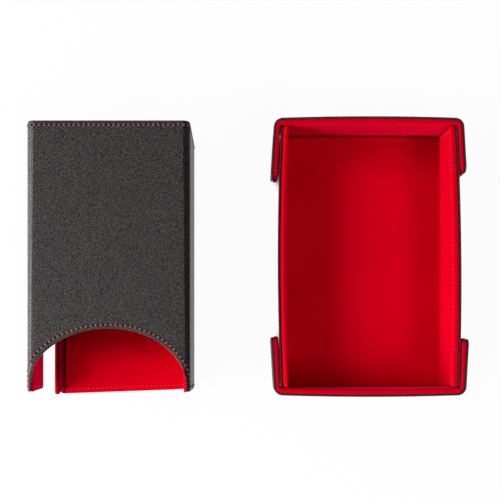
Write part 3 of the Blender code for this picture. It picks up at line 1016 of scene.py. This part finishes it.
def add_stitches(wrap, path, closed, spans, rise=STITCH_RISE):
    outer = Stitch(lambda u: 0.0, 1, STITCH_WIDTH, rise, HOLE_WIDTH)
    inner = Stitch(wrap.thickness_at, -1, *LINING_STITCH)
    for label, kind, materials, slot in (
        ("stitches", outer, [THREAD, HOLE], "leatherette"),
        ("lining_stitches", inner, [RED_THREAD, VELVET], "velvet"),
    ):
        for name, parts in sorted(stitches_along(wrap, path, spans, closed, kind).items()):
            title = f"{name}_{label}"
            body, ends = wrap.made[name]
            add_piece(title, closed_mesh(title, *parts), materials, slot, body, ends)

def corner_marks(end, inward, radius, steps=7):
    angles = [math.radians(90) * step / steps for step in range(1, steps + 1)]
    return [end + inward * radius * (1 - math.cos(angle)) for angle in angles]


def corner_drop(distance, radius):
    """How far a rounded corner takes the outline in, at a distance from the free end."""
    if distance >= radius:
        return 0.0
    return radius - math.sqrt(max(0, radius**2 - (radius - distance) ** 2))


# Tower


def tower_point(x, z):
    return TOWER_AT + Vector((x, 0, z))


def arch_edge(x):
    across = x - TOWER_WIDTH / 2
    share = min(1, abs(across) / (ARCH_LEFT if across < 0 else ARCH_RIGHT))
    return ARCH_RISE * (1 - share**ARCH_POWER) ** (1 / ARCH_POWER)


def build_tower():
    radius = TOWER_RADIUS
    inset = inset_of(radius)
    corner = (TOWER_DEPTH - inset, 0, -inset)
    left_at = axes_at(tower_point(0, FRONT_FACE - TOWER_DEPTH), Z, Y, -X)
    right_at = axes_at(tower_point(BACK_RIGHT, TOWER_DEPTH), -Z, Y, X)
    back_at = axes_at(tower_point(BACK_RIGHT, 0), -X, Y, -Z)
    left_plane = Plane(about(left_at, corner, math.radians(LEFT_FLARE_DEG)))
    front_plane = Plane(axes_at(tower_point(0, FRONT_FACE), X, Y, Z))
    right_plane = Plane(about(right_at, corner, RIGHT_LEAN))
    back_plane = Plane(back_at, skew=lambda x: -BACK_SKEW * x / BACK_WIDTH)
    flap_plane = Plane(axes_at(tower_point(BACK_LEFT, 0), Z, Y, -X), skew=lambda x: -BACK_SKEW)
    arch_marks = []
    for step in range(1, ARCH_STEPS):
        cosine = -math.cos(math.pi * step / ARCH_STEPS)
        reach = ARCH_LEFT if cosine < 0 else ARCH_RIGHT
        arch_marks.append(TOWER_WIDTH / 2 + reach * cosine - radius)
    flap_marks = corner_marks(FLAP_RISE - radius, -1, FLAP_CORNER)
    left, front, right, back, flap = (
        Run(high - low, along(plane, low), thickness, marks)
        for plane, low, high, thickness, marks in (
            (
                left_plane,
                LEFT_REVEAL,
                TOWER_DEPTH - radius,
                TOWER_THICKNESS,
                corner_marks(0, 1, LEFT_CORNER),
            ),
            (front_plane, radius, TOWER_WIDTH - radius, TOWER_THICKNESS, arch_marks),
            (right_plane, radius, TOWER_DEPTH - radius, TOWER_THICKNESS, ()),
            (back_plane, radius, BACK_WIDTH - radius, TOWER_THICKNESS, ()),
            (flap_plane, radius, FLAP_RISE, FLAP_THICKNESS, flap_marks),
        )
    )
    left_bend, right_bend, back_bend, flap_bend = (
        Bend(before, after, radius)
        for before, after in ((left, front), (front, right), (right, back), (back, flap))
    )
    middle = left_bend.length / 2
    left_bend.marks = (middle - ARCH_RAMP, middle + ARCH_RAMP)
    runs = [left, left_bend, front, right_bend, right, back_bend, back, flap_bend, flap]
    front_start = left.length + left_bend.length
    front_end = front_start + front.length
    total = sum(piece.length for piece in runs)
    jump = left.length + middle

    def drop_at(u):
        if u < LEFT_CORNER:
            return corner_drop(u, LEFT_CORNER)
        return corner_drop(total - u, FLAP_CORNER)

    def low(u):
        if front_start <= u <= front_end:
            return arch_edge(radius + u - front_start)
        if jump < u < front_start:
            return arch_edge(radius - radius * math.sin((front_start - u) / radius))
        if front_end < u < front_end + radius * math.radians(45):
            return arch_edge(TOWER_WIDTH - radius + radius * math.sin((u - front_end) / radius))
        return drop_at(u)

    def trim(u, high):
        if u > total - 0.004:
            return FLAP_TRIM
        if high or u <= jump:
            return TOWER_TRIM
        if u >= front_end + radius:
            back_end = total - flap.length - radius
            if u < back_end:
                return mixed_trim(TOWER_TRIM, BACK_FOOT, (u - back_end + back.length) / radius)
            return mixed_trim(BACK_FOOT, FLAP_FOOT, (u - back_end) / radius)
        across = radius + u - front_start - TOWER_WIDTH / 2
        if across < 0:
            return mixed_trim(ARCH_LEFT_TRIM, ARCH_TRIM, (across + 0.040) / 0.034)
        return mixed_trim(ARCH_TRIM, ARCH_RIGHT_TRIM, (across - 0.022) / 0.026)

    wrap = Wrap(runs, low, lambda u: TOWER_LENGTH - drop_at(u), True, True, trim)
    labels = (
        ("tower_left", "tower_left", True),
        ("tower_left_fold", ("tower_left", "tower_front"), True),
        ("tower_front", "tower_front", True),
        ("tower_front_fold", ("tower_front", "tower_right"), True),
        ("tower_right", "tower_right", True),
        ("tower_right_fold", ("tower_right", "tower_back"), True),
        ("tower_back", "tower_back", True),
        ("tower_flap_fold", ("tower_back", "closing_flap"), True),
        ("closing_flap", "closing_flap", True),
    )
    spans = dress(wrap, pieces_of(wrap, labels), 30)
    add_stitches(wrap, clean_path(wrap, free_path(wrap, True)), True, spans)

# Tray


def rim_shift(lean, bow, half_length, flare=0):
    def shift(x, y):
        crown = max(0, 1 - (x / half_length) ** 2)
        return (lean + bow * crown + flare * x / half_length) * y / TRAY_HEIGHT

    return shift


def side_plane(side):
    matrix = axes_at(X * side * SIDE_OUT, Y * side, Z, X * side)
    flare = -side * NEAR_FLARES[side]
    return Plane(matrix, rim_shift(SIDE_LEANS[side], SIDE_BOWS[side], TRAY_HALF_LENGTH, flare))


def end_plane(end):
    matrix = axes_at(Y * end * END_OUT, X * -end, Z, Y * end)
    return Plane(matrix, rim_shift(0, END_BOW, SIDE_OUT))


def build_side_wall(side, body):
    name = f"tray_{body}"
    plane = side_plane(side)
    half = TRAY_HALF_LENGTH - SIDE_END_GAP
    marks = corner_marks(0, 1, SIDE_CORNER) + corner_marks(2 * half, -1, SIDE_CORNER)
    run = Run(2 * half, along(plane, -half), TRAY_THICKNESS, marks)

    def high(u):
        return TRAY_HEIGHT - corner_drop(min(u, 2 * half - u), SIDE_CORNER)

    trim = LEFT_WALL_TRIM if side < 0 else TRAY_TRIM
    wrap = Wrap([run], lambda u: TRAY_RADIUS, high, True, True, lambda u, high: trim)
    spans = dress(wrap, pieces_of(wrap, [(name, body, False)]), 8)
    path = clean_path(wrap, free_path(wrap, False))
    path = [point for point in path if point.y > TRAY_RADIUS + 0.002]
    add_stitches(wrap, path, False, spans, TRAY_STITCH_RISE)
    build_floor_fold(f"{name}_fold", ("tray_base", body), side, plane, True)

def build_floor_fold(name, bodies, side, plane, along_y):
    """The fold from the floor up into a wall."""
    edge = (SIDE_OUT if along_y else END_OUT) - TRAY_RADIUS
    half = (END_OUT if along_y else SIDE_OUT) - TRAY_RADIUS + CORNER_LAP
    groove = 0.0 if along_y else END_GROOVE

    def floor_at(s, v, depth):
        reach = side * (edge - OVERLAP + s)
        return Vector((reach, v, depth)) if along_y else Vector((v, reach, depth))

    def wall_at(s, v, depth):
        local = side * v if along_y else -side * v
        return plane.at(local, TRAY_RADIUS + s, depth)

    floor_run = Run(OVERLAP, floor_at, TRAY_THICKNESS)
    wall_run = Run(OVERLAP, wall_at, TRAY_THICKNESS)
    runs = [floor_run, Bend(floor_run, wall_run, TRAY_RADIUS, groove=groove), wall_run]
    wrap = Wrap(runs, lambda u: -half, lambda u: half, False, False, lambda u, high: TRAY_TRIM)
    dress(wrap, [[name, bodies, 0, wrap.length, False, False]], 32)


def build_end(end, wall_body):
    """An end wall with its two tabs, which are one wrap round two corners."""
    wall = end_plane(end)
    inset = inset_of(TRAY_RADIUS)
    radius = TRAY_RADIUS
    sides = (end, -end)
    names = [tab_name(end, side) for side in sides]
    outs = [tab_out(end, side) for side in sides]
    reaches = [TAB_REACHES[name] for name in names]
    planes = []
    for side, out in zip(sides, outs):
        turn = -1 if end * side < 0 else 1
        place = Vector((side * out, end * END_OUT, 0))
        hinge = (-turn * inset, 0, -inset)
        flare = turn * math.radians(TAB_FLARE_DEG)
        planes.append(Plane(about(axes_at(place, Y * side, Z, X * side), hinge, flare)))

    def pile_at(side, reach):
        """A tab's thickness: its pile fills the gap to the side wall, down to a clearance."""
        share = (END_OUT - reach) / TRAY_HALF_LENGTH
        rim = SIDE_LEANS[side] + SIDE_BOWS[side] * max(0, 1 - share**2)
        rim -= NEAR_FLARES[side] * end * share
        flare = reach * math.tan(math.radians(TAB_FLARE_DEG))
        room = TAB_STANDOFFS[tab_name(end, side)] + flare - rim - TAB_PILE_GAP
        return TAB_THICKNESS + min(TAB_PILE, max(0, room))

    # The step up to the fold is a short ramp at each tab's root
    first_length, last_length = (reach - radius for reach in reaches)
    first = Run(
        first_length,
        along(planes[0], -reaches[0]),
        lambda s: pile_at(sides[0], reaches[0] - s),
        corner_marks(0, 1, TAB_CORNER) + [first_length - TAB_RAMP],
    )
    last = Run(
        last_length,
        along(planes[1], radius),
        lambda s: pile_at(sides[1], radius + s),
        corner_marks(last_length, -1, TAB_CORNER) + [TAB_RAMP],
    )
    middle = Run(sum(outs) - 2 * radius, along(wall, radius - outs[0]), TRAY_THICKNESS)
    runs = [first, Bend(first, middle, radius), middle, Bend(middle, last, radius), last]
    total = sum(run.length for run in runs)
    undercut_start = total - last.length
    rise = radius - TAB_UNDERCUT

    def low(u):
        if first.length - TAB_RAMP < u <= first.length:
            return TAB_UNDERCUT + rise * (u - first.length + TAB_RAMP) / TAB_RAMP
        if undercut_start <= u < undercut_start + TAB_RAMP:
            return TAB_UNDERCUT + rise * (undercut_start + TAB_RAMP - u) / TAB_RAMP
        if first.length < u < undercut_start:
            return TAB_UNDERCUT + rise
        return TAB_UNDERCUT + corner_drop(min(u, total - u), TAB_CORNER)

    def high(u):
        return TRAY_HEIGHT - corner_drop(min(u, total - u), TAB_CORNER)

    wrap = Wrap(runs, low, high, True, True, lambda u, high: TRAY_TRIM)
    wall_name = f"tray_{wall_body}"
    labels = (
        (names[0], names[0], True),
        (f"{names[0]}_fold", (names[0], wall_body), True),
        (wall_name, wall_body, False),
        (f"{names[1]}_fold", (wall_body, names[1]), True),
        (names[1], names[1], True),
    )
    spans = dress(wrap, pieces_of(wrap, labels), 10)
    path = clean_path(wrap, free_path(wrap, True))
    middle_low = wrap.starts[1] - 0.002
    middle_high = wrap.starts[4] + 0.002
    path = [p for p in path if p.y > 0.02 or not middle_low < p.x < middle_high]
    begin = max(range(len(path)), key=lambda k: (path[k] - path[k - 1]).length)
    add_stitches(wrap, path[begin:] + path[:begin], False, spans, TRAY_STITCH_RISE)
    build_floor_fold(f"{wall_name}_fold", ("tray_base", wall_body), end, wall, False)


def build_floor():
    wide = SIDE_OUT - TRAY_RADIUS - OVERLAP
    long = END_OUT - TRAY_RADIUS - OVERLAP
    columns, rows = 20, 32
    inner = TRAY_THICKNESS - VELVET_SHEET
    for title, material, slot, depths, node in (
        ("tray_floor_leather", TRAY_LEATHER, "leatherette", (0.0, SKIN), "tray_floor_skin"),
        ("tray_floor_velvet", VELVET, "velvet", (inner, TRAY_THICKNESS), "tray_floor_lining"),
    ):

        def pair_at(i, j):
            x = -wide + 2 * wide * i / columns
            y = -long + 2 * long * j / rows
            return [Vector((x, y, z)) for z in depths]

        shell = Shell()
        shell.grid(range(columns + 1), rows, pair_at)
        add_piece(title, shell.mesh(title), [material], slot, "tray_base", None, (node,))


def build_floor_corner(side, end):
    """The leather ball that closes a corner of the floor below its tab."""
    centre = Vector((side * (SIDE_OUT - TRAY_RADIUS), end * (END_OUT - TRAY_RADIUS), TRAY_RADIUS))
    steps = 7

    def pair_at(i, j):
        turn = math.radians(90) * i / steps
        fall = math.radians(2 + 88 * j / steps)
        flat = math.sin(fall)
        way = Vector((side * math.cos(turn) * flat, end * math.sin(turn) * flat, -math.cos(fall)))
        return [centre + way * radius for radius in (TRAY_RADIUS, TRAY_RADIUS - SKIN)]

    shell = Shell()
    shell.grid(range(steps + 1), steps, pair_at)
    name = f"tray_{END_NAMES[end]}_{SIDE_NAMES[side]}_corner_leather"
    add_piece(name, shell.mesh(name), [TRAY_LEATHER], "leatherette", "tray_base")


# Baffles

def sleeve_loop(length, thick, radius, steps=5):
    """A rounded outline in (down, across), each point with its outward way."""
    loop = []
    centres = (
        (length - radius, thick - radius, 0),
        (radius, thick - radius, 90),
        (radius, radius, 180),
        (length - radius, radius, 270),
    )
    for down, across, start in centres:
        for step in range(steps + 1):
            angle = math.radians(start + 90 * step / steps)
            way = Vector((math.cos(angle), math.sin(angle)))
            loop.append((Vector((down, across)) + way * radius, way))
    return loop


def build_sleeve(name, width, pivot, right, down):
    matrix = axes_at(pivot, right, down, right.cross(down))
    loop = sleeve_loop(BAFFLE_LENGTH, BAFFLE_THICKNESS, SLEEVE_RADIUS)
    columns = 20

    def pair_at(i, k):
        x = -width / 2 + width * i / columns
        point, way = loop[k]
        return [matrix @ Vector((x, *place)) for place in (point, point - way * VELVET_SHEET)]

    shell = Shell()
    shell.grid(range(columns + 1), len(loop), pair_at, True)
    title = f"{name}_velvet"
    add_piece(title, shell.mesh(title), [TOWER_VELVET], "velvet", name, None, (f"{name}_sleeve",))


def build_strip(name, width, seat, right, body):
    """A thin glued strip of velvet, from the fold up its panel."""
    matrix = axes_at(seat, right, Y, right.cross(Y))
    start = STRIP_THICKNESS + 2 * SEAM
    loop = sleeve_loop(STRIP_WIDTH, STRIP_THICKNESS, STRIP_RADIUS, 3)
    columns = 12
    points = []
    for i in range(columns + 1):
        x = -width / 2 + width * i / columns
        points += [matrix @ Vector((x, start + point.x, SEAM + point.y)) for point, _ in loop]
    title = f"{name}_strip_velvet"
    mesh = closed_mesh(title, points, tube_faces(0, columns + 1, len(loop)))
    add_piece(title, mesh, [TOWER_VELVET], "velvet", body, None, (f"{name}_strip",))


def build_baffles():
    width = TOWER_WIDTH - 2 * TOWER_THICKNESS - 2 * BAFFLE_CLEARANCE
    seat = tower_point(TOWER_WIDTH / 2, FRONT_FACE - TOWER_THICKNESS)
    seat = seat + Y * (TOWER_LENGTH - UPPER_BAFFLE_DROP)
    down = -Y * math.cos(BAFFLE_SLOPE) - Z * math.sin(BAFFLE_SLOPE)
    build_sleeve("upper_baffle", width, seat - Z * SEAM, X, down)
    build_strip("upper_baffle", width, seat, -X, "tower_front")
    low = BACK_LEFT + FLAP_THICKNESS + BAFFLE_CLEARANCE
    high = BACK_RIGHT - TOWER_THICKNESS - BAFFLE_CLEARANCE
    seat = tower_point((low + high) / 2, TOWER_THICKNESS)
    seat = seat + Y * (TOWER_LENGTH - LOWER_BAFFLE_DROP)
    down = -Y * math.cos(BAFFLE_SLOPE) + Z * math.sin(BAFFLE_SLOPE)
    build_sleeve("lower_baffle", high - low, seat + Z * SEAM, -X, down)
    build_strip("lower_baffle", high - low, seat, X, "tower_back")


# ---------------------------------------------------------------- the frame's own nodes

def paint_nodes():
    for name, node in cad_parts.items():
        material = NICKEL if name.endswith("_magnet") else BOARD
        node.data.materials.clear()
        node.data.materials.append(material)


# ---------------------------------------------------------------- stage, light, camera

def add_object(name, data, place=(0, 0, 0)):
    holder = bpy.data.objects.new(name, data)
    bpy.context.scene.collection.objects.link(holder)
    holder.location = place
    return holder


def seen_of(tree):
    """1 for the rays that show the background, and 0 for those that light the object."""
    rays = tree.nodes.new("ShaderNodeLightPath").outputs
    through = math_of("MAXIMUM", Output(rays["Is Glossy Ray"]), Output(rays["Is Transmission Ray"]))
    return math_of("MAXIMUM", Output(rays["Is Camera Ray"]), through)


def add_floor():
    """A table that is white where it is seen, but for a shade close to the object."""
    mesh = bpy.data.meshes.new("floor")
    ways = ((-1, -1), (1, -1), (1, 1), (-1, 1))
    mesh.from_pydata([(TABLE_REACH * x, TABLE_REACH * y, 0) for x, y in ways], [], [(0, 1, 2, 3)])
    floor = add_object("floor", mesh, (0, 0, TABLE_Z))
    made, tree, shader = shader_of("floor")
    fill(shader, Base_Color=(0.86, 0.86, 0.86, 1), Roughness=0.9, Specular_IOR_Level=0.1)
    clear = occlusion_of(tree, 0.012, 0.28, 0.5, 0)
    glow = node_of(tree, "Emission", "Emission", Color=(1, 1, 1, 1), Strength=clear)
    mix = tree.nodes.new("ShaderNodeMixShader")
    for entry, value in zip(mix.inputs, (seen_of(tree) * 0.955, Output(shader.outputs[0]), glow)):
        connect(entry, value)
    fill(tree.nodes["Material Output"], Surface=Output(mix.outputs[0]))
    floor.data.materials.append(made)


def add_light(name, place, size, power):
    light = bpy.data.lights.new(name, "AREA")
    light.shape = "ELLIPSE"
    light.size, light.size_y = size
    light.energy = power
    way = Vector(LIT_MIDDLE) - Vector(place)
    add_object(name, light, place).rotation_euler = way.to_track_quat("-Z", "Y").to_euler()


def add_world():
    world = bpy.data.worlds.new("studio")
    bpy.context.scene.world = world
    world.use_nodes = True
    strength = seen_of(world.node_tree) * 0.77 + 0.23
    fill(world.node_tree.nodes["Background"], Color=(1, 1, 1, 1), Strength=strength)


def add_camera():
    camera = bpy.data.cameras.new("camera")
    camera.sensor_width = SENSOR
    camera.lens = LENS
    camera.shift_y = SHIFT_UP
    bpy.context.scene.camera = add_object("camera", camera, CAMERA_AT)


def main():
    paint_nodes()
    build_tower()
    for side, name in SIDE_NAMES.items():
        build_side_wall(side, f"{name}_wall")
    for end, name in END_NAMES.items():
        build_end(end, f"{name}_wall")
    build_floor()
    for side in SIDE_NAMES:
        for end in END_NAMES:
            build_floor_corner(side, end)
    build_baffles()
    add_floor()
    add_world()
    add_light("key", (-1.32, -0.40, 0.65), (1.9, 0.62), 36)
    add_light("fill", (0.66, -0.75, 1.06), (0.8, 0.8), 5.0)
    add_camera()
    bpy.context.scene.view_settings.view_transform = "Standard"

main()
